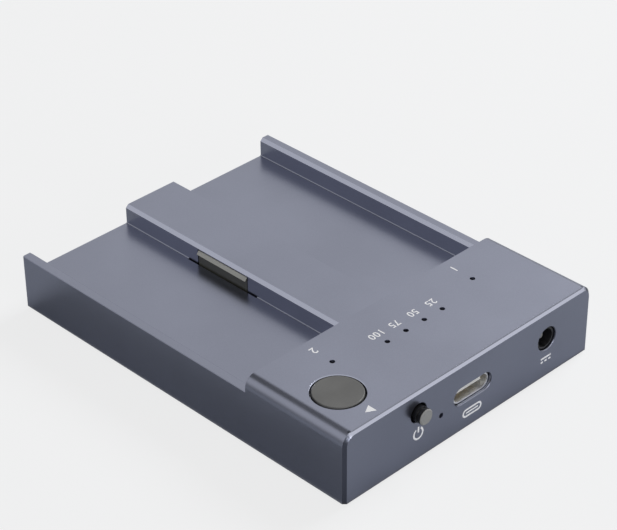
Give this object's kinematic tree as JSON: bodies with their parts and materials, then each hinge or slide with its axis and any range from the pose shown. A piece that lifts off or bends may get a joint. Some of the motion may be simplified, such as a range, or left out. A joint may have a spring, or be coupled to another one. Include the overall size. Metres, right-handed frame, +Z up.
{
  "type": "drive duplicator",
  "caption": "Flat aluminium dock that copies a bare solid state drive card to another, with open bays, sprung latches, a start button and sockets in its end face.",
  "frame": {"origin": "under the middle of the whole part, on the surface that its feet stand on", "axes": "+X to the right seen from the ports face, +Y from the ports face to the open end of the bays, +Z up"},
  "size_m": [0.062, 0.0838, 0.0146],
  "materials": {
    "anodised_aluminium": "fine blasted and anodised, bright cut chamfers",
    "cover_metal": "dark anodised sheet",
    "black_screws": "black oxide",
    "plated_screws": "zinc plated",
    "foot_rubber": "matt moulded rubber",
    "circuit_board": "solder mask",
    "connector_plastic": "glass filled nylon",
    "gold_contacts": "gold flash",
    "light_guide": "smoked clear plastic",
    "lamp_resin": "clear resin over phosphor",
    "chip_epoxy": "moulded epoxy",
    "thermal_pad": "soft silicone",
    "ferrite": "pressed powder",
    "ceramic": "fired ceramic",
    "nickel_steel": "nickel plated sheet",
    "tongue_plastic": "moulded nylon",
    "socket_plastic": "moulded nylon",
    "switch_plastic": "moulded nylon",
    "power_button_plastic": "satin plastic",
    "spring_steel": "bright drawn wire and strip",
    "start_cap_plastic": "fine textured plastic",
    "latch_plastic": "satin moulded plastic",
    "guide_plastic": "moulded nylon"
  },
  "bodies": {
    "case": {"housing": "anodised_aluminium", "base_cover": "cover_metal", "cover_screws": "black_screws", "foot_front_left": "foot_rubber", "foot_front_right": "foot_rubber", "foot_rear_left": "foot_rubber", "foot_rear_right": "foot_rubber", "main_board": "circuit_board", "board_screws": "plated_screws", "target_connector": "connector_plastic", "source_connector": "connector_plastic", "target_contacts": "gold_contacts", "source_contacts": "gold_contacts", "target_light_pipe": "light_guide", "source_light_pipe": "light_guide", "progress_light_guide": "light_guide", "power_light_pipe": "light_guide", "target_lamp": "lamp_resin", "source_lamp": "lamp_resin", "progress_lamps": "lamp_resin", "power_lamp": "lamp_resin", "target_bridge_chip": "chip_epoxy", "source_bridge_chip": "chip_epoxy", "duplicator_chip": "chip_epoxy", "thermal_pads": "thermal_pad", "power_inductors": "ferrite", "capacitors": "ceramic", "clock_crystal": "nickel_steel", "usb_shell": "nickel_steel", "usb_tongue": "tongue_plastic", "usb_contacts": "gold_contacts", "dc_jack_body": "socket_plastic", "dc_jack_pin": "nickel_steel", "dc_jack_contact": "spring_steel", "dc_jack_leads": "nickel_steel", "power_switch_leads": "nickel_steel", "power_switch_body": "switch_plastic", "power_spring": "spring_steel", "start_switch_body": "switch_plastic", "start_switch_cover": "nickel_steel", "start_dome": "spring_steel", "start_switch_leads": "nickel_steel", "source_latch_spring": "spring_steel", "target_latch_spring": "spring_steel", "latch_guide": "guide_plastic", "latch_guide_screws": "plated_screws"},
    "start_group": {"start_cap": "start_cap_plastic", "start_actuator": "switch_plastic"},
    "power_group": {"power_button": "power_button_plastic"},
    "source_catch": {"source_latch": "latch_plastic"},
    "target_catch": {"target_latch": "latch_plastic"}
  },
  "joints": [
    {"name": "start_press", "type": "slide", "parent": "case", "child": "start_group", "axis": [0, 0, -1], "range_m": [0, 0.0004], "stiffness_N_per_m": 2500, "deforming": ["start_dome"]},
    {"name": "power_press", "type": "slide", "parent": "case", "child": "power_group", "axis": [0, 1, 0], "range_m": [0, 0.0015], "stiffness_N_per_m": 1000, "deforming": ["power_spring"]},
    {"name": "source_latch_slide", "type": "slide", "parent": "case", "child": "source_catch", "axis": [-1, 0, 0], "range_m": [0, 0.0008], "stiffness_N_per_m": 1500, "deforming": ["source_latch_spring"]},
    {"name": "target_latch_slide", "type": "slide", "parent": "case", "child": "target_catch", "axis": [1, 0, 0], "range_m": [0, 0.0008], "stiffness_N_per_m": 1500, "deforming": ["target_latch_spring"]}
  ]
}
